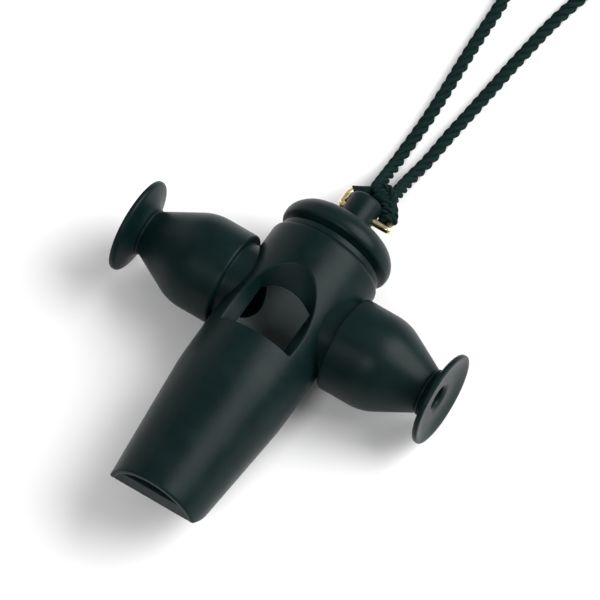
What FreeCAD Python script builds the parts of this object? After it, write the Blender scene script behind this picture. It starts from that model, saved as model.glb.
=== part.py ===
"""Three-tone samba whistle (apito) with a D-shaped ring and a neck cord.  All lengths are millimetres.

The whistle lies on its back: +Z is up through the window, +Y runs from the mouth to the end cap, and X is
the line of the two side barrels.  Lengths called "from the crossing" are measured along an axis from the
point where the body axis and the barrel axis meet.  The origin is on the table, under the middle of the
whistle's outline without its cord.
"""
import FreeCAD
import Part
import math
import os

VECTOR = FreeCAD.Vector
X_AXIS = VECTOR(1, 0, 0)
Y_AXIS = VECTOR(0, 1, 0)
Z_AXIS = VECTOR(0, 0, 1)

# Body tube, from the crossing
body_radius = 13.5
mouth_radius = 10.87
mouth_at = -55.0
taper_end_at = -24.6
seam_at = 15.2
bore_radius = 9.7

# Place of the crossing in the finished part
crossing_y = 8.84
crossing_z = body_radius

# Mouthpiece
windway_floor_at_mouth = 6.7
windway_floor_at_window = 8.6
beak_height = 1.8
lip_round = 0.5

# Window in the top of the body, from the crossing
window_low_at = -13.2
window_middle_at = -10.0
slot_half_width = 6.3
slot_side_at = -1.4
slot_top_at = 0.2
pocket_low_z = 6.6
pocket_high_z = 14.0

# End cap, from the crossing
cap_plug_at = 9.2
step_radius = 12.5
groove_radius = 11.4
rim_at = 19.9
cap_top_at = 23.5
knob_radius = 3.8
knob_end_at = 32.4
knob_hole_at = 28.5
knob_hole_radius = 0.9

# Side barrels, from the crossing
neck_radius = 9.3
barrel_face_at = 14.2
barrel_radius = 11.1
flange_neck_radius = 5.4
flange_neck_at = 36.1
flange_radius = 10.95
flange_face_at = 40.0
finger_hole_radius = 2.6
tenon_radius = 8.0
tenon_at = 10.2
passage_radius = 6.4
chamber_radius = 8.6

# Ring
ring_wire_radius = 0.8
ring_droop = 25.0
ring_left_corner = (-4.8, 0.0, 0.95)
ring_right_corner = (8.0, 0.0, 1.0)
ring_right_shoulder = (4.6, 7.6, 3.0)
ring_far_corner = (-1.5, 9.2, 3.5)
ring_left_shoulder = (-5.2, 6.0, 3.0)

# Cord
cord_diameter = 3.0
cord_z = 1.52
hitch_radius = 2.6
hitch_reach_left = 4.6
hitch_reach_down = 5.0
coil_centre_at = (-2.0, 132.0)
coil_outer_turn = 20.0
coil_inner_turn = 10.6
coil_height = 6.1

# Routes of the two cord strands: x, distance along Y from the crossing, height above the table
left_route = [
    (-2.3, 39.9, 5.7),
    (-3.0, 45.2, 3.0),
    (-3.2, 52.2, cord_z),
    (-3.3, 62.0, cord_z),
    (-4.0, 74.0, cord_z),
    (-4.8, 86.5, cord_z),
    (-5.6, 98.0, cord_z),
    (-12.0, 110.0, cord_z),
    (-19.6, 122.5, cord_z),
]
right_route = [
    (2.0, 39.9, 5.8),
    (1.7, 45.2, 3.0),
    (2.3, 52.2, cord_z),
    (3.2, 62.0, cord_z),
    (4.6, 74.5, cord_z),
    (6.0, 87.5, cord_z),
    (7.2, 99.5, cord_z),
    (11.4, 112.2, 2.6),
    (16.6, 124.6, 4.4),
]


def at(length, radius):
    """A point of a turned outline: length along the axis, radius from it."""
    return VECTOR(length, radius, 0)


def outline_face(start, steps):
    """Closed face from straight steps, one point each, and arc steps, a middle and an end point each."""
    edges = []
    here = at(*start)
    for step in steps:
        end = at(*step[-1])
        if len(step) == 2:
            edges.append(Part.Arc(here, at(*step[0]), end).toShape())
        else:
            edges.append(Part.LineSegment(here, end).toShape())
        here = end
    if here.distanceToPoint(at(*start)) > 0.001:
        edges.append(Part.LineSegment(here, at(*start)).toShape())
    return Part.Face(Part.Wire(edges))


def turned(start, steps):
    """Solid of revolution about the X axis."""
    return outline_face(start, steps).revolve(VECTOR(0, 0, 0), X_AXIS, 360)


def along_y(solid):
    """Turn a solid that was made along X so that it lies along Y."""
    turned_solid = solid.copy()
    turned_solid.rotate(VECTOR(0, 0, 0), Z_AXIS, 90)
    return turned_solid


def side_prism(points, half_width):
    """Prism along X from an outline in the Y-Z plane."""
    corners = [VECTOR(-half_width, y, z) for y, z in points]
    face = Part.Face(Part.makePolygon(corners + corners[:1]))
    return face.extrude(VECTOR(2 * half_width, 0, 0))


def place(solid):
    """Move a solid from the crossing to its place above the table."""
    placed = solid.copy()
    placed.translate(VECTOR(0, crossing_y, crossing_z))
    return placed


def beak_cutter():
    """Everything below the slope under the mouth."""
    depth = beak_height + body_radius + 1
    return side_prism(
        [(mouth_at - 1, beak_height + 1), (mouth_at + depth, beak_height - depth), (mouth_at - 1, beak_height - depth)],
        body_radius + 1,
    )


def pocket_section(z):
    """Outline of the window's sloping pocket at height z above the body axis."""
    half_width = slot_half_width + 0.98 * (z - 7.3)
    length = slot_top_at + 1.41 * (z - bore_radius) - window_middle_at
    ellipse = Part.Ellipse(VECTOR(0, window_middle_at + length, z), VECTOR(half_width, window_middle_at, z),
                           VECTOR(0, window_middle_at, z))
    left = VECTOR(-half_width, window_middle_at, z)
    right = VECTOR(half_width, window_middle_at, z)
    low_left = VECTOR(-half_width, window_low_at, z)
    low_right = VECTOR(half_width, window_low_at, z)
    arc = Part.Arc(ellipse, -math.pi / 2, math.pi / 2).toShape()
    ends = sorted(arc.Vertexes, key=lambda vertex: vertex.Point.x)
    if abs(ends[0].Point.x + half_width) > 0.001:
        raise ValueError("the pocket's arc doesn't start at its left side")
    return Part.Wire(Part.__sortEdges__([
        arc,
        Part.LineSegment(right, low_right).toShape(),
        Part.LineSegment(low_right, low_left).toShape(),
        Part.LineSegment(low_left, left).toShape(),
    ]))


def window_cutter():
    """Sloping pocket above a straight slot that opens the bore."""
    pocket = Part.makeLoft([pocket_section(pocket_low_z), pocket_section(pocket_high_z)], True, True)
    low_left = VECTOR(-slot_half_width, window_low_at, 0)
    low_right = VECTOR(slot_half_width, window_low_at, 0)
    high_left = VECTOR(-slot_half_width, slot_side_at, 0)
    high_right = VECTOR(slot_half_width, slot_side_at, 0)
    outline = Part.Wire([
        Part.LineSegment(low_left, low_right).toShape(),
        Part.LineSegment(low_right, high_right).toShape(),
        Part.Arc(high_right, VECTOR(0, slot_top_at, 0), high_left).toShape(),
        Part.LineSegment(high_left, low_left).toShape(),
    ])
    slot = Part.Face(outline).extrude(VECTOR(0, 0, pocket_high_z))
    return pocket.fuse(slot)


def whistle_body():
    """Bored and tapered tube with the window, the beak and two side sockets."""
    tube = turned((mouth_at, 0), [
        [(mouth_at, mouth_radius - lip_round)],
        [(mouth_at + 0.15, mouth_radius - 0.18), (mouth_at + lip_round, mouth_radius)],
        [(taper_end_at, body_radius - 0.08)],
        [(taper_end_at + 1.2, body_radius - 0.02), (taper_end_at + 2.4, body_radius)],
        [(seam_at - 1.6, body_radius)],
        [(seam_at - 0.5, body_radius - 0.35), (seam_at, body_radius - 1.0)],
        [(seam_at, 0)],
    ])
    bore = turned((mouth_at - 1, 0), [
        [(mouth_at - 1, bore_radius)],
        [(seam_at + 1, bore_radius)],
        [(seam_at + 1, 0)],
    ])
    body = along_y(tube.cut(bore))
    body = body.cut(Part.makeCylinder(passage_radius, 4 * body_radius, VECTOR(-2 * body_radius, 0, 0), X_AXIS))
    for side in (-1, 1):
        socket = Part.makeCylinder(tenon_radius, body_radius, VECTOR(side * tenon_at, 0, 0), X_AXIS * side)
        body = body.cut(socket)
    return body.cut(beak_cutter()).cut(window_cutter())


def windway_block():
    """Plug in the mouth, with the sloping floor of the windway on top."""
    plug = Part.makeCylinder(bore_radius, window_low_at - mouth_at, VECTOR(0, mouth_at, 0), Y_AXIS)
    above_floor = side_prism(
        [(mouth_at - 1, windway_floor_at_mouth), (window_low_at + 1, windway_floor_at_window),
         (window_low_at + 1, bore_radius + 1), (mouth_at - 1, bore_radius + 1)],
        bore_radius + 1,
    )
    return plug.cut(above_floor).cut(beak_cutter())


def end_cap():
    """Plug, stepped skirt, round rim and knob, turned in one piece."""
    cap = turned((cap_plug_at, 0), [
        [(cap_plug_at, bore_radius - 0.6)],
        [(cap_plug_at + 0.6, bore_radius)],
        [(seam_at, bore_radius)],
        [(seam_at, step_radius - 0.15)],
        [(seam_at + 0.15, step_radius)],
        [(seam_at + 1.1, step_radius)],
        [(seam_at + 1.4, step_radius - 0.1), (seam_at + 1.55, step_radius - 0.4)],
        [(seam_at + 1.7, groove_radius + 0.3)],
        [(seam_at + 1.85, groove_radius + 0.05), (seam_at + 2.05, groove_radius + 0.2)],
        [(rim_at - 1.5, body_radius - 0.5)],
        [(rim_at - 0.85, body_radius - 0.1), (rim_at, body_radius)],
        [(rim_at + 2.6, body_radius - 1.2), (cap_top_at, bore_radius)],
        [(cap_top_at + 0.4, knob_radius + 0.9)],
        [(cap_top_at + 0.75, knob_radius + 0.25), (cap_top_at + 1.5, knob_radius - 0.1)],
        [(knob_end_at - 1.5, knob_radius + 0.1)],
        [(knob_end_at - 0.4, knob_radius - 0.35), (knob_end_at, knob_radius - 1.4)],
        [(knob_end_at, 0)],
    ])
    hole = Part.makeCylinder(knob_hole_radius, 4 * knob_radius, VECTOR(-2 * knob_radius, knob_hole_at, 0), X_AXIS)
    return along_y(cap).cut(hole)


def right_barrel():
    """Hollow side barrel with its tenon, neck, bead, flared finger flange and finger hole."""
    shoulder_at = 22.6
    cone_at = 27.0
    barrel = turned((tenon_at - 2, 0), [
        [(tenon_at - 2, neck_radius)],
        [(barrel_face_at - 0.3, neck_radius)],
        [(barrel_face_at - 0.1, neck_radius + 0.1), (barrel_face_at, neck_radius + 0.3)],
        [(barrel_face_at, barrel_radius - 0.6)],
        [(barrel_face_at + 0.18, barrel_radius - 0.18), (barrel_face_at + 0.6, barrel_radius)],
        [(shoulder_at, barrel_radius)],
        [(shoulder_at + 2.25, barrel_radius - 0.3), (cone_at, barrel_radius - 1.15)],
        [(flange_neck_at - 0.5, flange_neck_radius + 0.12)],
        [(flange_neck_at - 0.3, flange_neck_radius - 0.05), (flange_neck_at - 0.1, flange_neck_radius + 0.05)],
        [(flange_neck_at + 0.2, flange_neck_radius + 0.4), (flange_neck_at + 0.5, flange_neck_radius + 0.45)],
        [(flange_neck_at + 0.65, flange_neck_radius + 0.7)],
        [(flange_face_at - 1.55, flange_radius - 0.65)],
        [(flange_face_at - 1.15, flange_radius - 0.12), (flange_face_at - 0.6, flange_radius)],
        [(flange_face_at - 0.15, flange_radius - 0.15), (flange_face_at, flange_radius - 0.6)],
        [(flange_face_at - 0.1, flange_radius - 1.0)],
        [(flange_face_at - 0.75, 7.0), (flange_face_at - 1.0, finger_hole_radius + 0.8)],
        [(flange_face_at - 1.2, finger_hole_radius + 0.2), (flange_face_at - 1.8, finger_hole_radius)],
        [(flange_face_at - 1.8, 0)],
    ])
    inside = turned((tenon_at - 3, 0), [
        [(tenon_at - 3, passage_radius)],
        [(barrel_face_at + 0.6, passage_radius)],
        [(barrel_face_at + 2.8, chamber_radius)],
        [(cone_at - 3.0, chamber_radius)],
        [(flange_neck_at - 1.5, finger_hole_radius)],
        [(flange_face_at + 1, finger_hole_radius)],
        [(flange_face_at + 1, 0)],
    ])
    body_space = Part.makeCylinder(body_radius, 4 * neck_radius, VECTOR(0, -2 * neck_radius, 0), Y_AXIS)
    tenon = Part.makeCylinder(tenon_radius, barrel_face_at - tenon_at, VECTOR(tenon_at, 0, 0), X_AXIS)
    return barrel.cut(body_space).fuse(tenon).removeSplitter().cut(inside)


def swung(solid):
    """Drop a solid from the ring's own flat frame to where it hangs from the knob."""
    hung = solid.copy()
    hung.rotate(VECTOR(0, 0, 0), X_AXIS, -ring_droop)
    hung.translate(VECTOR(0, knob_hole_at, 0))
    return hung


def flat_point(corner):
    """A ring corner's place in the ring's own flat frame."""
    return VECTOR(corner[0], corner[1], 0)


def rounded_corner(before, corner, after):
    """The arc that rounds off one corner, with its start and end points."""
    here = flat_point(corner)
    towards = here.sub(flat_point(before)).normalize()
    away = flat_point(after).sub(here).normalize()
    half_turn = towards.getAngle(away) / 2
    reach = corner[2] * math.tan(half_turn)
    start = here.sub(towards * reach)
    end = here.add(away * reach)
    depth = corner[2] / math.cos(half_turn) - corner[2]
    middle = here.add(away.sub(towards).normalize() * depth)
    return start, Part.Arc(start, middle, end).toShape(), end


def flat_ring():
    """Hand-bent wire ring in the X-Y plane, its straight bar on the X axis."""
    corners = [ring_left_corner, ring_right_corner, ring_right_shoulder, ring_far_corner, ring_left_shoulder]
    bends = []
    for i, corner in enumerate(corners):
        bends.append(rounded_corner(corners[i - 1], corner, corners[(i + 1) % len(corners)]))
    edges = []
    for i, (start, arc, end) in enumerate(bends):
        edges.append(arc)
        edges.append(Part.LineSegment(end, bends[(i + 1) % len(bends)][0]).toShape())
    bar_start = bends[0][2]
    section = Part.Wire(Part.makeCircle(ring_wire_radius, bar_start, X_AXIS))
    path = Part.Wire(edges[1:] + edges[:1])
    return path.makePipeShell([section], True, False)


def flat_hitch():
    """Outer shape of the hitch round the ring's far side and right shoulder, in the ring's own flat frame."""
    shoulder = flat_point(ring_right_shoulder)
    left = flat_point(ring_far_corner).sub(shoulder).normalize()
    down = flat_point(ring_right_corner).sub(shoulder).normalize()
    left_end = shoulder.add(left * hitch_reach_left)
    low_end = shoulder.add(down * hitch_reach_down)
    start, arc, end = rounded_corner(ring_right_corner, ring_right_shoulder, ring_far_corner)
    path = Part.Wire([
        Part.LineSegment(low_end, start).toShape(),
        arc,
        Part.LineSegment(end, left_end).toShape(),
    ])
    section = Part.Wire(Part.makeCircle(hitch_radius, low_end, down))
    return path.makePipeShell([section], True, False).cut(flat_ring())


def cord_tube(route):
    """Round tube along straight runs joined by tangent arcs, as large as the runs beside them allow."""
    points = [VECTOR(x, y + crossing_y, z) for x, y, z in route]
    edges = []
    radii = []
    here = points[0]
    for before, corner, after in zip(points, points[1:], points[2:]):
        run_in = corner.sub(before)
        run_out = after.sub(corner)
        half_turn = run_in.getAngle(run_out) / 2
        reach = 0.45 * min(run_in.Length, run_out.Length)
        radii.append(reach / math.tan(half_turn))
        towards = VECTOR(run_in).normalize()
        away = VECTOR(run_out).normalize()
        start = corner.sub(towards * reach)
        end = corner.add(away * reach)
        middle_way = away.sub(towards).normalize()
        middle = corner.add(middle_way * (radii[-1] / math.cos(half_turn) - radii[-1]))
        edges.append(Part.LineSegment(here, start).toShape())
        edges.append(Part.Arc(start, middle, end).toShape())
        here = end
    edges.append(Part.LineSegment(here, points[-1]).toShape())
    path = Part.Wire(edges)
    length = path.Length
    section = Part.Wire(Part.makeCircle(cord_diameter / 2, points[0], points[1].sub(points[0])))
    tube = path.makePipeShell([section], True, False)
    print("cord radii", [round(radius, 1) for radius in radii], "length", round(length, 1),
          "volume over section x length", round(tube.Volume / (math.pi * cord_diameter ** 2 / 4 * length), 4))
    return tube


def cord_coil():
    """Outer shape of the put-away coil."""
    inner = coil_inner_turn - cord_diameter / 2
    outer = coil_outer_turn + cord_diameter / 2
    round_edge = 1.2
    soft = round_edge * (1 - math.sqrt(0.5))
    ring = turned((0, inner + round_edge), [
        [(0, outer - round_edge)],
        [(soft, outer - soft), (round_edge, outer)],
        [(coil_height - round_edge, outer)],
        [(coil_height - soft, outer - soft), (coil_height, outer - round_edge)],
        [(coil_height, inner + round_edge)],
        [(coil_height - soft, inner + soft), (coil_height - round_edge, inner)],
        [(round_edge, inner)],
        [(soft, inner + soft), (0, inner + round_edge)],
    ])
    ring.rotate(VECTOR(0, 0, 0), Y_AXIS, -90)
    ring.translate(VECTOR(coil_centre_at[0], coil_centre_at[1] + crossing_y, 0.02))
    return ring


def build():
    """Every piece by its node name."""
    barrel = right_barrel()
    left = barrel.mirror(VECTOR(0, 0, 0), X_AXIS)
    coil = cord_coil()
    return {
        "whistle_body": place(whistle_body()),
        "windway_block": place(windway_block()),
        "end_cap": place(end_cap()),
        "right_barrel": place(barrel),
        "left_barrel": place(left),
        "lanyard_ring": place(swung(flat_ring())),
        "cord_hitch": place(swung(flat_hitch())),
        "cord_strand_left": cord_tube(left_route),
        "cord_strand_right": cord_tube(right_route),
        "cord_coil": coil,
    }


os.makedirs("parts", exist_ok=True)
for name, shape in build().items():
    box = shape.BoundBox
    print(name, "solids", len(shape.Solids), "valid", shape.isValid(), "volume", round(shape.Volume, 1),
          "x", round(box.XMin, 2), round(box.XMax, 2), "y", round(box.YMin, 2), round(box.YMax, 2),
          "z", round(box.ZMin, 2), round(box.ZMax, 2))
    shape.exportStep("parts/" + name + ".step")
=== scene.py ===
"""A black three-tone samba whistle on its back on a pale table, with its brass ring and its neck cord.

Sizes in the helpers are millimetres from the crossing of the body's axis and the barrels' axis;
X runs along the barrels, Y from the mouth to the end cap and Z up.
"""

import math

import bmesh
import bpy
from mathutils import Matrix, Vector


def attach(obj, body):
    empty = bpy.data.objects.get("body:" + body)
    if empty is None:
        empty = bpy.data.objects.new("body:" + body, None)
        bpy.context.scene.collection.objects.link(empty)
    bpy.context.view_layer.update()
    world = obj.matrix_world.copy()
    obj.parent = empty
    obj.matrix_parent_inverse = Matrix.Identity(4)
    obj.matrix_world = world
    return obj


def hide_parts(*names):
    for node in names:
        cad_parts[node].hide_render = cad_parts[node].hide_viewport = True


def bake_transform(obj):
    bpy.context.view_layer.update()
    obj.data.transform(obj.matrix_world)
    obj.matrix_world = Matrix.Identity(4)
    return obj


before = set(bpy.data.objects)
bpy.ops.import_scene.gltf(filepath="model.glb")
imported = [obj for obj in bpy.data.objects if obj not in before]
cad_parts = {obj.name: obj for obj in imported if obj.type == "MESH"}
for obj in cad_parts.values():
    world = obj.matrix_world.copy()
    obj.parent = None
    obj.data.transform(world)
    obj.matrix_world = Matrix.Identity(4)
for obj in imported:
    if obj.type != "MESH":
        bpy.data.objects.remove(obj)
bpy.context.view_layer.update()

MM = 0.001
CROSSING = Vector((0.0, 8.84, 13.5))
TO_FRAME = Matrix.Translation(CROSSING * MM) @ Matrix.Scale(MM, 4)

# The camera's axes, its aim in millimetres right and up of the crossing, and its distance in metres.
CAMERA_RIGHT = Vector((0.8406, 0.5417, -0.0061))
CAMERA_UP = Vector((-0.4817, 0.7525, 0.4491))
CAMERA_AIM = (2.483, 2.605)
CAMERA_DISTANCE = 2.5
CAMERA_LENS = 686.25
CAMERA_SENSOR = 36.0

BODY_RADIUS = 13.5
BORE_RADIUS = 9.7
PASSAGE_RADIUS = 6.4
MOUTH_AT = -55.0
SEAM_AT = 15.2
WINDOW_LOW_AT = -13.2
BEAK_OUTLINE = [(-56.0, 2.8), (-38.0, -15.2), (-56.0, -15.2)]
BLOCK_SIDES = 72
BLOCK_ROWS = 24
BLOCK_EDGE = 0.18
BLOCK_TOP_AT_MOUTH = 6.7
BLOCK_RISE = 1.9

RING_WIRE = 0.84
RING_CORNERS = [(-4.75, 0.0, 0.9), (8.0, 0.0, 1.2), (3.3, 7.4, 2.0), (-1.5, 9.2, 2.3), (-5.4, 5.4, 1.8)]
RING_DROOP = 25.0
RING_SIDES = 24
HINGE_AT = 28.5

CORD_DIAMETER = 3.0
CORD_LEAD = 7.6
CORD_Z = 1.52
PATH_STEP = 0.8
HITCH_CORD = 1.75
HITCH_LEAD = 6.2
HITCH_RADIUS = 1.5
HITCH_TURNS = 6.6
THREAD_RADIUS = 0.2
THREAD_SIDES = 8
THREAD_TURNS = 19
COIL_CENTRE = (-2.0, 132.0)
COIL_TURNS = 3
COIL_OUTER = 19.9
COIL_INNER = 10.6
COIL_POINTS = 16
COIL_LAYER = 3.0

WOOD_DARK = (0.0016, 0.0080, 0.0080)
WOOD_LIGHT = (0.0034, 0.0118, 0.0118)
# Painted light: a pale colour on the bore's wall that stands for light falling through the window onto the
# bore's floor.
BORE_PAINTED_LIGHT_COLOR = (0.17, 0.215, 0.21)
BRASS_DARK = (0.80, 0.62, 0.33)
BRASS_LIGHT = (0.92, 0.79, 0.50)
YARN_DARK = (0.0020, 0.0100, 0.0085)
YARN_LIGHT = (0.0075, 0.0230, 0.0205)


def frame_point(x, y, z):
    """A point given from the crossing, in the row frame in metres."""
    return TO_FRAME @ Vector((x, y, z))


def above_table(x, y, z):
    """The same with z counted from the table."""
    return frame_point(x, y, z - CROSSING.z)


# ---------------------------------------------------------------- camera

def make_camera():
    """Long lens on the view in which the mouth points down to the left."""
    right = CAMERA_RIGHT.normalized()
    up = CAMERA_UP.normalized()
    back = right.cross(up).normalized()
    up = back.cross(right)
    aim = frame_point(0, 0, 0) + (right * CAMERA_AIM[0] + up * CAMERA_AIM[1]) * MM
    data = bpy.data.cameras.new("camera")
    data.sensor_width = CAMERA_SENSOR
    data.lens = CAMERA_LENS
    data.clip_start = 0.1
    data.clip_end = 20.0
    camera = bpy.data.objects.new("camera", data)
    bpy.context.scene.collection.objects.link(camera)
    turn = Matrix((right, up, back)).transposed().to_4x4()
    camera.matrix_world = Matrix.Translation(aim + back * CAMERA_DISTANCE) @ turn
    bpy.context.scene.camera = camera


# ---------------------------------------------------------------- mesh helpers

def new_object(name, points, faces, smooth_angle=40.0, matrix=TO_FRAME):
    """An object from points in millimetres from the crossing, unless matrix says what else they are."""
    mesh = bpy.data.meshes.new(name)
    mesh.from_pydata([tuple(point) for point in points], [], faces)
    mesh.transform(matrix)
    finish_mesh(mesh, smooth_angle)
    made = bpy.data.objects.new(name, mesh)
    bpy.context.scene.collection.objects.link(made)
    return made


def finish_mesh(mesh, smooth_angle):
    """Smooth shading, with edges sharper than the angle kept crisp."""
    mesh.validate()
    mesh.polygons.foreach_set("use_smooth", [True] * len(mesh.polygons))
    mesh.set_sharp_from_angle(angle=math.radians(smooth_angle))
    mesh.update()


def clean(made):
    """Drop loose points and turn every face outwards."""
    work = bmesh.new()
    work.from_mesh(made.data)
    bmesh.ops.delete(work, geom=[v for v in work.verts if not v.link_faces], context="VERTS")
    bmesh.ops.recalc_face_normals(work, faces=work.faces)
    work.to_mesh(made.data)
    work.free()
    finish_mesh(made.data, 40.0)
    return made


def rounded(corners, steps=6, longest=0.8, closed=False):
    """Turned outline as points: corners are (length, radius, rounding), and straight runs are cut up."""
    bends = []
    count = len(corners)
    for i, (length, radius, rounding) in enumerate(corners):
        here = Vector((length, radius))
        if rounding == 0 or (not closed and i in (0, count - 1)):
            bends.append([here])
            continue
        before = Vector(corners[i - 1][:2]) - here
        after = Vector(corners[(i + 1) % count][:2]) - here
        start = here + before.normalized() * min(rounding, 0.48 * before.length)
        end = here + after.normalized() * min(rounding, 0.48 * after.length)
        bend = []
        for k in range(steps + 1):
            t = k / steps
            bend.append(start * (1 - t) ** 2 + here * 2 * t * (1 - t) + end * t * t)
        bends.append(bend)
    points = []
    for i, bend in enumerate(bends):
        points.extend(bend)
        if i == count - 1 and not closed:
            break
        start, end = bend[-1], bends[(i + 1) % count][0]
        parts = max(1, math.ceil((end - start).length / longest))
        points.extend(start.lerp(end, k / parts) for k in range(1, parts))
    return points


def about_y(length, radius, angle):
    """A point on a cylinder about the body's axis."""
    return Vector((radius * math.sin(angle), length, radius * math.cos(angle)))


def about_x(length, radius, angle):
    """A point on a cylinder about the barrels' axis."""
    return Vector((length, radius * math.sin(angle), radius * math.cos(angle)))


def turned(name, corners, axis, closed=False, around=160):
    """Solid of revolution; an open outline starts and ends on the axis."""
    outline = rounded(corners, closed=closed)
    points, rings = [], []
    for length, radius in outline:
        if radius < 1e-6:
            rings.append([len(points)] * around)
            points.append(axis(length, 0, 0))
        else:
            rings.append([len(points) + k for k in range(around)])
            points.extend(axis(length, radius, 2 * math.pi * k / around) for k in range(around))
    faces = []
    pairs = list(zip(rings, rings[1:])) + ([(rings[-1], rings[0])] if closed else [])
    for low, high in pairs:
        for k in range(around):
            face = [low[k], low[(k + 1) % around], high[(k + 1) % around], high[k]]
            faces.append(list(dict.fromkeys(face)))
    return new_object(name, points, faces)


def cut(target, cutter):
    """Take cutter away from target."""
    modifier = target.modifiers.new("cut", "BOOLEAN")
    modifier.operation = "DIFFERENCE"
    modifier.solver = "EXACT"
    modifier.object = cutter
    bpy.context.view_layer.update()
    mesh = bpy.data.meshes.new_from_object(target.evaluated_get(bpy.context.evaluated_depsgraph_get()))
    target.modifiers.clear()
    target.data = mesh
    bpy.data.objects.remove(cutter)
    finish_mesh(mesh, 35.0)
    return target


def side_prism(name, outline, half_width):
    """Prism along X from an outline of (y, z) points."""
    count = len(outline)
    points = [(-half_width, y, z) for y, z in outline] + [(half_width, y, z) for y, z in outline]
    faces = [[i, (i + 1) % count, count + (i + 1) % count, count + i] for i in range(count)]
    faces += [list(range(count - 1, -1, -1)), list(range(count, 2 * count))]
    return clean(new_object(name, points, faces))


def beak_cutter():
    """What the slanting face under the mouth takes away."""
    return side_prism("beak_cutter", BEAK_OUTLINE, 16.0)


def tube_points(line, radius, sides, closed=False):
    """Rings of points round a line, without twist, and the frames that they stand in."""
    count = len(line)
    tangents = []
    for i in range(count):
        before = line[(i - 1) % count] if closed or i else line[i]
        after = line[(i + 1) % count] if closed or i < count - 1 else line[i]
        tangents.append((after - before).normalized())
    side = tangents[0].orthogonal().normalized()
    frames = []
    for tangent in tangents:
        side = (side - tangent * side.dot(tangent)).normalized()
        frames.append((side.copy(), tangent.cross(side)))
    if closed:
        last = frames[-1][0] - tangents[0] * frames[-1][0].dot(tangents[0])
        first, other = frames[0]
        slip = math.atan2(last.dot(other), last.dot(first))
        for i, (side, up) in enumerate(frames):
            back = -slip * i / count
            cos, sin = math.cos(back), math.sin(back)
            frames[i] = (side * cos + up * sin, up * cos - side * sin)
    return [
        [here + (side * math.cos(a) + up * math.sin(a)) * radius
         for a in (2 * math.pi * k / sides for k in range(sides))]
        for here, (side, up) in zip(line, frames)
    ], frames


def tube_faces(count, sides, closed):
    """Faces between count rings of points."""
    rows = [[i % count * sides + k for k in range(sides)] for i in range(count + 1 if closed else count)]
    return [[low[k], low[(k + 1) % sides], high[(k + 1) % sides], high[k]]
            for low, high in zip(rows, rows[1:]) for k in range(sides)]


# ---------------------------------------------------------------- cord

def hung(x, out, lift=0.0):
    """A point given in the ring's own flat frame: along the bar, out from the hinge, and off its plane."""
    droop = math.radians(RING_DROOP)
    return Vector((
        x,
        HINGE_AT + out * math.cos(droop) + lift * math.sin(droop),
        lift * math.cos(droop) - out * math.sin(droop),
    ))


# Both strands as x and y from the crossing and height over the table. The left one runs from the ring to
# the coil, the right one from the coil back to the ring.
LEFT_STRAND = [
    (-0.6, 34.8, 9.2), (-1.5, 36.2, 8.8), (-1.75, 37.8, 8.0), (-2.05, 39.9, 6.8), (-2.5, 42.6, 5.0),
    (-2.9, 45.6, 3.2), (-3.15, 49.0, 2.0), (-3.3, 53.0, CORD_Z), (-3.2, 58.0, CORD_Z),
    (-3.3, 63.6, CORD_Z), (-3.9, 73.6, CORD_Z), (-4.6, 83.6, CORD_Z), (-4.8, 90.5, CORD_Z),
    (-5.1, 97.5, CORD_Z), (-7.7, 104.0, CORD_Z), (-12.2, 110.5, CORD_Z), (-17.4, 117.5, CORD_Z),
    (-20.9, 124.5, CORD_Z),
]
RIGHT_STRAND = [
    (16.9, 124.5, 4.3), (13.8, 118.0, 3.6), (10.9, 111.0, 2.5), (8.6, 103.5, 1.8), (7.0, 96.0, CORD_Z),
    (6.0, 87.7, CORD_Z), (5.4, 83.1, CORD_Z), (4.7, 75.6, CORD_Z), (3.9, 68.2, CORD_Z),
    (3.0, 60.6, CORD_Z), (2.5, 53.3, CORD_Z), (1.95, 49.0, 2.0), (1.8, 45.6, 3.2), (2.0, 42.6, 5.0),
    (2.4, 39.9, 6.8), (2.57, 37.8, 8.0), (2.6, 36.2, 8.8), (2.4, 34.8, 9.2),
]


def coil_route():
    """Turns that wind in on the table and out again on top, from the left side round to the right."""
    layer_turns = COIL_TURNS * COIL_POINTS
    pitch = (COIL_OUTER - COIL_INNER) / COIL_TURNS
    low = [(math.pi - 2 * math.pi * k / COIL_POINTS, COIL_OUTER - pitch * k / COIL_POINTS, CORD_Z)
           for k in range(layer_turns + 1)]
    last = low[-1][0]
    half = COIL_POINTS // 2
    high = [(last - 2 * math.pi * k / COIL_POINTS, COIL_INNER + pitch * k / COIL_POINTS, CORD_Z + COIL_LAYER)
            for k in range(2, layer_turns - half + 1)]
    x, y = COIL_CENTRE
    return [(x + radius * math.cos(angle), y + radius * math.sin(angle), height)
            for angle, radius, height in low + high]


def nurbs_line(route):
    """The smooth line of a spline that is steered by the route's points, in metres."""
    curve = bpy.data.curves.new("route", "CURVE")
    curve.dimensions = "3D"
    spline = curve.splines.new("NURBS")
    spline.points.add(len(route) - 1)
    for point, place in zip(spline.points, route):
        point.co = (*above_table(*place), 1.0)
    spline.order_u = 3
    spline.use_endpoint_u = True
    curve.resolution_u = 8
    holder = bpy.data.objects.new("route", curve)
    mesh = bpy.data.meshes.new_from_object(holder)
    line = [vertex.co.copy() for vertex in mesh.vertices]
    bpy.data.meshes.remove(mesh)
    bpy.data.objects.remove(holder)
    bpy.data.curves.remove(curve)
    return line


def evenly(line, step):
    """The line with points at an even step."""
    lengths = [0.0]
    for before, after in zip(line, line[1:]):
        lengths.append(lengths[-1] + (after - before).length)
    count = max(2, round(lengths[-1] / step))
    points, i = [], 0
    for k in range(count + 1):
        want = lengths[-1] * k / count
        while i < len(line) - 2 and lengths[i + 1] < want:
            i += 1
        share = (want - lengths[i]) / max(lengths[i + 1] - lengths[i], 1e-12)
        points.append(line[i].lerp(line[i + 1], min(1.0, share)))
    return points


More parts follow.
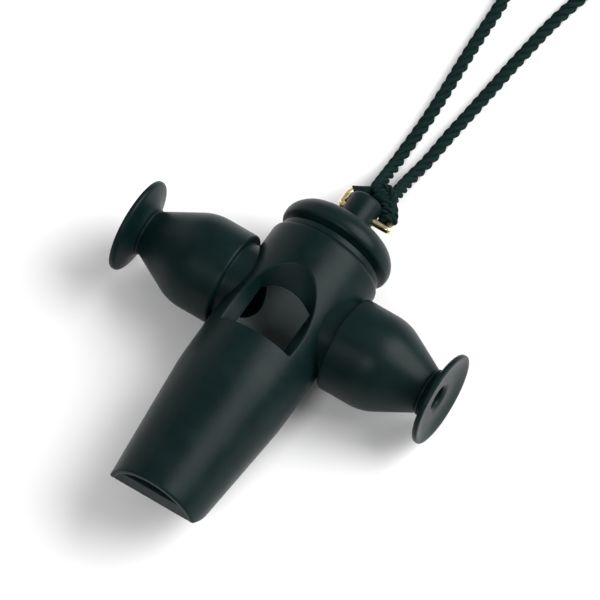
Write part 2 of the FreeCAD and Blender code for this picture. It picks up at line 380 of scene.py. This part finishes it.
def rope(name, line, diameter, lead, sides=10, strands=3, taper=False):
    """Laid rope round a line: strands wind round each other once in each lead. All in metres."""
    step = diameter * 0.12
    line = evenly(line, step)
    _, frames = tube_points(line, diameter / 2, 3)
    offset, thick = diameter * 0.245, diameter * 0.27
    points, faces, uvs = [], [], []
    for strand in range(strands):
        rows = []
        for i, (here, (side, up)) in enumerate(zip(line, frames)):
            turn = 2 * math.pi * (i * step / lead + strand / strands)
            end = min(i, len(line) - 1 - i) * step / (diameter * 0.5)
            close = math.sqrt(max(0.02, 1 - (1 - min(1.0, end)) ** 2)) if taper else 1.0
            out = side * math.cos(turn) + up * math.sin(turn)
            middle = here + out * offset * close
            row = []
            for k in range(sides):
                angle = 2 * math.pi * k / sides + turn
                row.append(len(points))
                points.append(middle + (side * math.cos(angle) + up * math.sin(angle)) * thick * close)
                uvs.append((i * step * 1000, k / sides))
            rows.append(row)
        for low, high in zip(rows, rows[1:]):
            faces.extend([low[k], low[(k + 1) % sides], high[(k + 1) % sides], high[k]] for k in range(sides))
        faces.append(rows[0][::-1])
        faces.append(rows[-1])
    made = new_object(name, points, faces, smooth_angle=80.0, matrix=Matrix.Identity(4))
    layer = made.data.uv_layers.new(name="lay")
    for loop in made.data.loops:
        layer.data[loop.index].uv = uvs[loop.vertex_index]
    for face in made.data.polygons:
        corners = [layer.data[i] for i in face.loop_indices]
        if max(corner.uv[1] for corner in corners) - min(corner.uv[1] for corner in corners) > 0.5:
            for corner in corners:
                if corner.uv[1] < 0.5:
                    corner.uv = (corner.uv[0], corner.uv[1] + 1.0)
    return made


def wound(name, along, wrap_radius, turns, make):
    """A line that winds round another one in the ring's plane, made into a piece."""
    line = []
    for i, (here, after) in enumerate(zip(along, along[1:])):
        out = (after - here).cross(Vector((0, 0, 1))).normalized()
        beta = 2 * math.pi * turns * i / len(along)
        place = here + out * wrap_radius * math.cos(beta)
        line.append(TO_FRAME @ hung(place.x, place.y, wrap_radius * math.sin(beta)))
    return make(name, smooth_line(line, parts=4))


def hitch_rope(name, line):
    """Thin rope with tapered ends, as the hitch has it, along a line in metres."""
    return rope(name, line, HITCH_CORD * MM, HITCH_LEAD * MM, taper=True)


def thread(name, line):
    """Thin plain tube round a line in metres."""
    rings, _ = tube_points(line, THREAD_RADIUS * MM, THREAD_SIDES)
    points = [point for row in rings for point in row]
    faces = tube_faces(len(rings), THREAD_SIDES, closed=False)
    faces += [list(range(THREAD_SIDES - 1, -1, -1)), list(range(len(points) - THREAD_SIDES, len(points)))]
    made = new_object(name, points, faces, smooth_angle=80.0, matrix=Matrix.Identity(4))
    made.data.uv_layers.new(name="lay")
    return made


def make_hitch():
    """Turns of cord on the ring's right leg, thread on its far side, and a bight across both strands."""
    leg = [(6.4, 2.0), (5.2, 4.0), (4.0, 5.9), (2.9, 7.3), (1.7, 8.0), (0.5, 8.45), (-0.8, 8.85)]
    far_side = [(-0.6, 9.15), (-1.9, 8.45), (-3.3, 7.15), (-5.0, 5.65)]
    across = [(4.9, 5.2, 0.9), (4.5, 6.9, 1.8), (3.4, 8.7, 2.1), (1.7, 9.8, 2.1), (0.0, 9.9, 1.9),
              (-1.1, 9.0, 1.4), (-1.2, 8.2, 0.3)]
    leg_line = smooth_line([Vector((x, out, 0)) for x, out in leg])
    far_line = smooth_line([Vector((x, out, 0)) for x, out in far_side], 50)
    wraps = wound("hitch_wraps", leg_line, HITCH_RADIUS, HITCH_TURNS, hitch_rope)
    whipping = wound("hitch_whipping", far_line, RING_WIRE + THREAD_RADIUS * 0.7, THREAD_TURNS, thread)
    bight = hitch_rope("hitch_bight", smooth_line([TO_FRAME @ hung(*place) for place in across]))
    return join([wraps, bight, whipping], "hitch_rope")


def smooth_line(points, parts=12):
    """Catmull-Rom line through the points."""
    line = []
    for i in range(len(points) - 1):
        a, b = points[max(i - 1, 0)], points[i]
        c, d = points[i + 1], points[min(i + 2, len(points) - 1)]
        for k in range(parts):
            t = k / parts
            line.append(0.5 * (b * 2 + (c - a) * t + (a * 2 - b * 5 + c * 4 - d) * t * t
                               + (b * 3 - a - c * 3 + d) * t ** 3))
    line.append(points[-1])
    return line


def join(objects, name):
    """One object from several that share the same placing."""
    with bpy.context.temp_override(active_object=objects[0], selected_editable_objects=objects):
        bpy.ops.object.join()
    objects[0].name = name
    return objects[0]


def make_cord():
    """The whole neck cord and the hitch that ties it to the ring."""
    line = nurbs_line(LEFT_STRAND + coil_route() + RIGHT_STRAND)
    cord = rope("neck_cord", line, CORD_DIAMETER * MM, CORD_LEAD * MM)
    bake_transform(cord)
    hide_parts("cord_strand_left", "cord_strand_right", "cord_coil")
    hitch = make_hitch()
    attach(hitch, "ring")
    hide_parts("cord_hitch")
    path = evenly(line, PATH_STEP * MM)
    return [cord, hitch]


# ---------------------------------------------------------------- whistle

AROUND = 144
RIM_HALF_WIDTH = 8.8
SILL_HALF_WIDTH = 6.3
SILL_SIDE_END_AT = -1.4
STRAIGHT_SHARE = 0.24
RIM_BREAK = 0.45
SILL_BREAK = 0.14
WINDOW_COLUMNS = 24
WINDOW_ROWS = 26
PATCH_LOW_AT = -17.0
PATCH_HIGH_AT = PATCH_LOW_AT + WINDOW_ROWS


def on_tube(arc, length, radius):
    """A point on the tube, arc millimetres round from its top as measured on that radius."""
    return about_y(length, radius, arc / radius)


def window_outlines():
    """Rim of the window on the body's outside and its sill on the bore, as matching (x, y) points."""
    corner = math.radians(39)
    middle_at, wide, long = -10.0, 9.05, 15.65
    sill_top, sill_bow = 0.2, 13.2
    rim, sill = [], []
    for k in range(2 * WINDOW_COLUMNS):
        share = k / WINDOW_COLUMNS - 1
        rim.append((RIM_HALF_WIDTH * share, WINDOW_LOW_AT))
        sill.append((SILL_HALF_WIDTH * share, WINDOW_LOW_AT))
    side = []
    for k in range(WINDOW_ROWS):
        share = k / WINDOW_ROWS
        if share < STRAIGHT_SHARE:
            step = share / STRAIGHT_SHARE
            swell = 0.25 * math.sin(step * math.pi / 2)
            point = (RIM_HALF_WIDTH + swell, WINDOW_LOW_AT + (middle_at - WINDOW_LOW_AT) * step)
        else:
            angle = corner * (share - STRAIGHT_SHARE) / (1 - STRAIGHT_SHARE)
            point = (wide * math.cos(angle), middle_at + long * math.sin(angle))
        side.append((point, (SILL_HALF_WIDTH, WINDOW_LOW_AT + (SILL_SIDE_END_AT - WINDOW_LOW_AT) * share)))
    rim.extend(point for point, _ in side)
    sill.extend(point for _, point in side)
    for k in range(2 * WINDOW_COLUMNS):
        angle = corner + (math.pi - 2 * corner) * k / (2 * WINDOW_COLUMNS)
        x = wide * math.cos(angle)
        rim.append((x, middle_at + long * math.sin(angle)))
        low_x = SILL_HALF_WIDTH * x / (wide * math.cos(corner))
        sill.append((low_x, sill_top - sill_bow + math.sqrt(sill_bow ** 2 - low_x ** 2)))
    rim.append((-wide * math.cos(corner), middle_at + long * math.sin(corner)))
    sill.append((-SILL_HALF_WIDTH, SILL_SIDE_END_AT))
    rim.extend((-x, y) for (x, y), _ in side[:0:-1])
    sill.extend((-x, y) for _, (x, y) in side[:0:-1])
    return rim, sill


def outward(loop):
    """Unit vectors that point out of a closed loop of (arc, length) points."""
    count = len(loop)
    result = []
    for i in range(count):
        before, after = Vector(loop[i - 1]), Vector(loop[(i + 1) % count])
        along = (after - before).normalized()
        result.append(Vector((along.y, -along.x)))
    return result


def rounding(starts, corners, ends, t):
    """Points part way along the bends from starts to ends round the corners."""
    return [a * (1 - t) ** 2 + b * 2 * t * (1 - t) + c * t * t for a, b, c in zip(starts, corners, ends)]


def whistle_body():
    """Tapered tube, bored through, with the window's sloping walls and softly broken edges."""
    mouth = rounded([(MOUTH_AT, BORE_RADIUS, 0), (MOUTH_AT, 10.87, 0.5), (-23.6, BODY_RADIUS, 2.6),
                     (PATCH_LOW_AT, BODY_RADIUS, 0)])
    cap = rounded([(PATCH_HIGH_AT, BODY_RADIUS, 0), (SEAM_AT, BODY_RADIUS, 1.5), (SEAM_AT, BORE_RADIUS, 0)])
    above = [Vector((PATCH_LOW_AT + k, BODY_RADIUS)) for k in range(1, WINDOW_ROWS)]
    below = [Vector((PATCH_HIGH_AT - k, BORE_RADIUS)) for k in range(1, WINDOW_ROWS)]
    inside_high = rounded([(SEAM_AT, BORE_RADIUS, 0), (PATCH_HIGH_AT, BORE_RADIUS, 0)])
    inside_low = rounded([(PATCH_LOW_AT, BORE_RADIUS, 0), (MOUTH_AT, BORE_RADIUS, 0)])
    outline = mouth + above + cap + inside_high[1:] + below + inside_low[:-1]
    outer_row = len(mouth) - 1
    inner_row = len(mouth) + len(above) + len(cap) + len(inside_high) - 2
    points = [about_y(p.x, p.y, 2 * math.pi * k / AROUND) for p in outline for k in range(AROUND)]
    faces = []
    for row in range(len(outline)):
        in_patch = 0 <= row - outer_row < WINDOW_ROWS or 0 <= row - inner_row < WINDOW_ROWS
        for k in range(AROUND):
            if in_patch and (k < WINDOW_COLUMNS or k >= AROUND - WINDOW_COLUMNS):
                continue
            after, high = (k + 1) % AROUND, (row + 1) % len(outline)
            faces.append([row * AROUND + k, row * AROUND + after, high * AROUND + after, high * AROUND + k])
    rows, columns = WINDOW_ROWS, WINDOW_COLUMNS
    edge = [(0, c) for c in range(-columns, columns)] + [(r, columns) for r in range(rows)]
    edge += [(rows, c) for c in range(columns, -columns, -1)] + [(r, -columns) for r in range(rows, 0, -1)]
    outer_edge = [(outer_row + r) * AROUND + c % AROUND for r, c in edge]
    inner_edge = [(inner_row + rows - r) * AROUND + c % AROUND for r, c in edge]
    rim, sill = window_outlines()
    loops = [outer_edge]

    def add_loop(places):
        loops.append(list(range(len(points), len(points) + len(places))))
        points.extend(places)

    def patch(loop, radius, grow):
        """Points between the patch's edge and a loop that is grown by a little."""
        arcs = [(radius * math.asin(x / radius), y) for x, y in loop]
        grown = [Vector(place) + out * grow for place, out in zip(arcs, outward(arcs))]
        edges = [Vector((radius * 2 * math.pi * c / AROUND, PATCH_LOW_AT + r)) for r, c in edge]
        return [[on_tube(*start.lerp(end, share), radius) for start, end in zip(edges, grown)]
                for share in (0.3, 0.55, 0.75, 0.88, 0.96, 1.0)]

    high = [Vector((x, y, math.sqrt(BODY_RADIUS ** 2 - x * x))) for x, y in rim]
    low = [Vector((x, y, math.sqrt(BORE_RADIUS ** 2 - x * x))) for x, y in sill]
    wall_top = [b + (d - b).normalized() * RIM_BREAK for b, d in zip(high, low)]
    wall_foot = [d + (b - d).normalized() * SILL_BREAK for b, d in zip(high, low)]
    outside = patch(rim, BODY_RADIUS, 0.38)
    inside = patch(sill, BORE_RADIUS, SILL_BREAK)
    for places in outside:
        add_loop(places)
    for k in range(1, 6):
        add_loop(rounding(outside[-1], high, wall_top, k / 5))
    for share in (0.3, 0.55, 0.8):
        add_loop([top.lerp(foot, share) for top, foot in zip(wall_top, wall_foot)])
    for k in range(4):
        add_loop(rounding(wall_foot, low, inside[-1], k / 3))
    for places in inside[-2::-1]:
        add_loop(places)
    loops.append(inner_edge)
    for first, second in zip(loops, loops[1:]):
        count = len(first)
        faces.extend([first[i], first[(i + 1) % count], second[(i + 1) % count], second[i]]
                     for i in range(count))
    made = new_object("body_turned", points, faces)
    clean(made)
    outline = [(-30, 0, 0), (-30, PASSAGE_RADIUS, 0), (30, PASSAGE_RADIUS, 0), (30, 0, 0)]
    passage = turned("passage", outline, about_x, around=64)
    cut(made, clean(passage))
    return cut(made, beak_cutter())


def windway_block():
    """Plug in the mouth with a flat, rising top."""
    sides = BLOCK_SIDES
    radius = BORE_RADIUS - 0.03
    start = MOUTH_AT + BLOCK_EDGE
    rows = [(MOUTH_AT, BLOCK_EDGE)]
    rows += [(start + (WINDOW_LOW_AT - start) * k / BLOCK_ROWS, 0.0) for k in range(BLOCK_ROWS + 1)]
    points = []
    for y, less in rows:
        top = BLOCK_TOP_AT_MOUTH + BLOCK_RISE * (y - MOUTH_AT) / (WINDOW_LOW_AT - MOUTH_AT) - less
        half = math.acos(top / (radius - less))
        angles = [half + (2 * math.pi - 2 * half) * k / (sides - 1) for k in range(sides)]
        points.extend(about_y(y, radius - less, angle) for angle in angles)
    faces = tube_faces(len(rows), sides, closed=False)
    faces += [list(range(sides - 1, -1, -1)), list(range(len(points) - sides, len(points)))]
    block = new_object("block_turned", points, faces, smooth_angle=30.0)
    return cut(clean(block), beak_cutter())


def end_cap():
    """Plug, skirt, groove, round rim and knob in one outline."""
    return turned("cap_turned", [
        (9.2, 0, 0), (9.2, 9.65, 0.5), (15.22, 9.65, 0), (15.22, 12.5, 0.2), (16.7, 12.5, 0.3),
        (17.0, 11.45, 0.2), (17.6, 12.3, 0.15), (18.1, 13.5, 1.2), (20.8, 13.5, 2.2), (23.5, 11.2, 1.6),
        (23.75, 4.6, 0.9), (25.0, 3.75, 0.9), (32.4, 3.92, 1.15), (32.5, 1.5, 0.6), (32.5, 0, 0),
    ], about_y)


def barrel():
    """Right barrel as one closed outline: outside from neck to flange, then back through the inside."""
    return turned("barrel_right", [
        (9.72, PASSAGE_RADIUS, 0), (9.72, 9.3, 0), (14.2, 9.3, 0.25), (14.2, 11.1, 0.65), (24.9, 11.1, 3.0),
        (35.7, 5.45, 0.3), (35.95, 5.15, 0.12), (36.15, 5.6, 0.14), (36.5, 5.62, 0.12), (36.62, 5.3, 0.1),
        (36.8, 5.7, 0.12), (37.75, 7.0, 1.2), (38.6, 10.5, 0.3), (39.0, 10.98, 0.35), (39.95, 10.98, 0.4),
        (39.98, 10.1, 0.3), (39.1, 6.8, 1.6), (39.0, 3.5, 0.5), (38.5, 2.6, 0.5), (34.6, 2.6, 0.3),
        (24.0, 8.6, 1.5), (17.0, 8.6, 0.8), (14.8, 6.4, 0.5),
    ], about_x, closed=True)


def mirrored(source, name):
    """Left-hand twin of a right-hand piece."""
    mesh = source.data.copy()
    mesh.transform(Matrix.Scale(-1, 4, (1, 0, 0)))
    mesh.flip_normals()
    twin = bpy.data.objects.new(name, mesh)
    bpy.context.scene.collection.objects.link(twin)
    return twin


def ring():
    """Hand-bent wire ring with its straight bar through the knob."""
    flat = rounded(RING_CORNERS, steps=10, longest=0.7, closed=True)
    rings, _ = tube_points([hung(*place) for place in flat], RING_WIRE, RING_SIDES, closed=True)
    points = [point for row in rings for point in row]
    faces = tube_faces(len(rings), RING_SIDES, closed=True)
    return clean(new_object("ring_wire", points, faces, smooth_angle=80.0))


# ---------------------------------------------------------------- materials

def new_material(name, color, roughness, metallic=0.0):
    material = bpy.data.materials.new(name)
    material.use_nodes = True
    shader = material.node_tree.nodes["Principled BSDF"]
    shader.inputs["Base Color"].default_value = (*color, 1.0)
    shader.inputs["Roughness"].default_value = roughness
    shader.inputs["Metallic"].default_value = metallic
    return material, material.node_tree, shader


def add_noise(tree, source, scale, stretch, detail=4.0, roughness=0.55, distortion=0.0):
    """Noise on stretched coordinates."""
    mapping = tree.nodes.new("ShaderNodeMapping")
    mapping.inputs["Scale"].default_value = stretch
    tree.links.new(source, mapping.inputs["Vector"])
    noise = tree.nodes.new("ShaderNodeTexNoise")
    noise.inputs["Scale"].default_value = scale
    noise.inputs["Detail"].default_value = detail
    noise.inputs["Roughness"].default_value = roughness
    noise.inputs["Distortion"].default_value = distortion
    tree.links.new(mapping.outputs["Vector"], noise.inputs["Vector"])
    return noise.outputs["Fac"]


def add_range(tree, value, low, high):
    """The value spread from low to high."""
    spread = tree.nodes.new("ShaderNodeMapRange")
    spread.inputs["From Min"].default_value = 0.3
    spread.inputs["From Max"].default_value = 0.7
    spread.inputs["To Min"].default_value = low
    spread.inputs["To Max"].default_value = high
    tree.links.new(value, spread.inputs["Value"])
    return spread.outputs["Result"]


def add_colors(tree, value, dark, light):
    """A colour between dark and light by the value."""
    ramp = tree.nodes.new("ShaderNodeValToRGB")
    ramp.color_ramp.elements[0].position = 0.3
    ramp.color_ramp.elements[1].position = 0.7
    ramp.color_ramp.elements[0].color = (*dark, 1.0)
    ramp.color_ramp.elements[1].color = (*light, 1.0)
    tree.links.new(value, ramp.inputs["Fac"])
    return ramp.outputs["Color"]


def add_bump(tree, value, distance, before=None):
    """Surface bumps of that height in metres, on top of the bumps before."""
    bump = tree.nodes.new("ShaderNodeBump")
    bump.inputs["Strength"].default_value = 1.0
    bump.inputs["Distance"].default_value = distance
    tree.links.new(value, bump.inputs["Height"])
    if before is not None:
        tree.links.new(before, bump.inputs["Normal"])
    return bump.outputs["Normal"]


def add_bore_painted_light(tree, color):
    """The colour outside the bore, and a paler one on the bore's own wall: painted light for the lit bore
    floor seen through the window.
    """
    place = tree.nodes.new("ShaderNodeTexCoord").outputs["Object"]
    across = tree.nodes.new("ShaderNodeVectorMath")
    across.operation = "MULTIPLY_ADD"
    across.inputs[1].default_value = (1.0, 0.0, 1.0)
    across.inputs[2].default_value = (0.0, 0.0, -CROSSING.z * MM)
    tree.links.new(place, across.inputs[0])
    radius = tree.nodes.new("ShaderNodeVectorMath")
    radius.operation = "LENGTH"
    tree.links.new(across.outputs["Vector"], radius.inputs[0])
    share = tree.nodes.new("ShaderNodeMapRange")
    share.inputs["From Min"].default_value = (BORE_RADIUS + 0.08) * MM
    share.inputs["From Max"].default_value = (BORE_RADIUS + 0.02) * MM
    tree.links.new(radius.outputs["Value"], share.inputs["Value"])
    mix = tree.nodes.new("ShaderNodeMix")
    mix.data_type = "RGBA"
    mix.inputs["B"].default_value = (*BORE_PAINTED_LIGHT_COLOR, 1.0)
    tree.links.new(share.outputs["Result"], mix.inputs["Factor"])
    tree.links.new(color, mix.inputs["A"])
    return mix.outputs["Result"]


def black_wood(name, stretch, roughness=0.36, bored=False):
    """Black-stained, rubbed wood with faint turning lines across the axis that stretch picks out."""
    material, tree, shader = new_material(name, WOOD_LIGHT, roughness)
    place = tree.nodes.new("ShaderNodeTexCoord").outputs["Object"]
    cloud = add_noise(tree, place, 160.0, (1, 1, 1), detail=5.0)
    lines = add_noise(tree, place, 1.0, stretch, detail=3.0, roughness=0.7)
    pores = add_noise(tree, place, 2600.0, (1.0, 0.35, 1.0), detail=2.0)
    color = add_colors(tree, cloud, WOOD_DARK, WOOD_LIGHT)
    # On the body the bore's wall is painted pale: painted light for the lit floor seen through the window.
    tree.links.new(add_bore_painted_light(tree, color) if bored else color, shader.inputs["Base Color"])
    tree.links.new(add_range(tree, cloud, roughness - 0.04, roughness + 0.06), shader.inputs["Roughness"])
    normal = add_bump(tree, lines, 0.000012)
    normal = add_bump(tree, pores, 0.000008, before=normal)
    tree.links.new(normal, shader.inputs["Normal"])
    shader.inputs["Specular IOR Level"].default_value = 0.1
    return material


def brass():
    """Pale polished brass with a little tarnish."""
    material, tree, shader = new_material("pale_brass", (0.86, 0.72, 0.42), 0.2, metallic=1.0)
    place = tree.nodes.new("ShaderNodeTexCoord").outputs["Object"]
    tarnish = add_noise(tree, place, 700.0, (1, 1, 1), detail=5.0)
    tree.links.new(add_colors(tree, tarnish, BRASS_DARK, BRASS_LIGHT), shader.inputs["Base Color"])
    tree.links.new(add_range(tree, tarnish, 0.16, 0.34), shader.inputs["Roughness"])
    scratches = add_noise(tree, place, 4000.0, (1, 1, 1))
    tree.links.new(add_bump(tree, scratches, 0.000004), shader.inputs["Normal"])
    return material


def cord_yarn():
    """Dull black yarn: fibres run slantwise round each strand."""
    material, tree, shader = new_material("black_yarn", (0.008, 0.008, 0.009), 0.78)
    lay = tree.nodes.new("ShaderNodeTexCoord").outputs["UV"]
    fibres = add_noise(tree, lay, 1.0, (1.3, 26.0, 1.0), detail=3.0, distortion=0.6)
    place = tree.nodes.new("ShaderNodeTexCoord").outputs["Object"]
    fuzz = add_noise(tree, place, 3800.0, (1, 1, 1), detail=3.0)
    tree.links.new(add_colors(tree, fibres, YARN_DARK, YARN_LIGHT), shader.inputs["Base Color"])
    normal = add_bump(tree, fibres, 0.00009)
    normal = add_bump(tree, fuzz, 0.00004, before=normal)
    tree.links.new(normal, shader.inputs["Normal"])
    shader.inputs["Specular IOR Level"].default_value = 0.06
    return material


def paint(made, material):
    made.data.materials.clear()
    made.data.materials.append(material)


# ---------------------------------------------------------------- studio

def area_light(name, place, aim, size, power, size_y=None):
    data = bpy.data.lights.new(name, "AREA")
    data.shape = "RECTANGLE"
    data.size = size
    data.size_y = size_y or size
    data.energy = power
    light = bpy.data.objects.new(name, data)
    bpy.context.scene.collection.objects.link(light)
    light.location = place
    light.rotation_mode = "QUATERNION"
    light.rotation_quaternion = (Vector(aim) - Vector(place)).to_track_quat("-Z", "Y")
    return light


def make_stage():
    """Pale table, a large light behind on the right, and weaker ones in front and on the left."""
    floor = new_object("floor", [(-4, -4, 0), (4, -4, 0), (4, 4, 0), (-4, 4, 0)], [[0, 1, 2, 3]],
                       matrix=Matrix.Identity(4))
    material, _, shader = new_material("pale_table", (0.90, 0.90, 0.90), 0.9)
    shader.inputs["Specular IOR Level"].default_value = 0.1
    paint(floor, material)
    lights = [
        area_light("key", (0.80, 0.66, 0.92), (0, 0, 0), 1.15, 30.0),
        area_light("front_top", (0.04, -0.56, 0.83), (0, 0, 0), 0.28, 2.6),
        area_light("soft_left", (-0.85, 0.35, 0.35), (0, 0, 0.01), 0.5, 1.2, size_y=0.8),
    ]
    world = bpy.data.worlds.new("studio")
    world.use_nodes = True
    world.node_tree.nodes["Background"].inputs["Color"].default_value = (1.0, 1.0, 1.0, 1.0)
    world.node_tree.nodes["Background"].inputs["Strength"].default_value = 0.35
    bpy.context.scene.world = world
    bpy.context.scene.view_settings.view_transform = "Standard"


# ---------------------------------------------------------------- put together

make_camera()
cord_parts = make_cord()
yarn = cord_yarn()
for part in cord_parts:
    paint(part, yarn)

along_y = (60.0, 9000.0, 60.0)
along_x = (9000.0, 60.0, 60.0)
body_black = black_wood("black_wood_body", along_y, bored=True)
barrel_black = black_wood("black_wood_barrel", along_x)
right = barrel()
whistle_parts = [
    (whistle_body(), "whistle_body", "black_wood", body_black),
    (windway_block(), "windway_block", "black_block", black_wood("black_block", along_y, 0.45)),
    (end_cap(), "end_cap", "black_wood", black_wood("black_wood_cap", along_y)),
    (mirrored(right, "barrel_left"), "left_barrel", "black_wood", barrel_black),
    (right, "right_barrel", "black_wood", barrel_black),
]
for part, node, slot, material in whistle_parts:
    paint(part, material)
    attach(part, "whistle")
    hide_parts(node)

wire = ring()
paint(wire, brass())
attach(wire, "ring")
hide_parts("lanyard_ring")

make_stage()
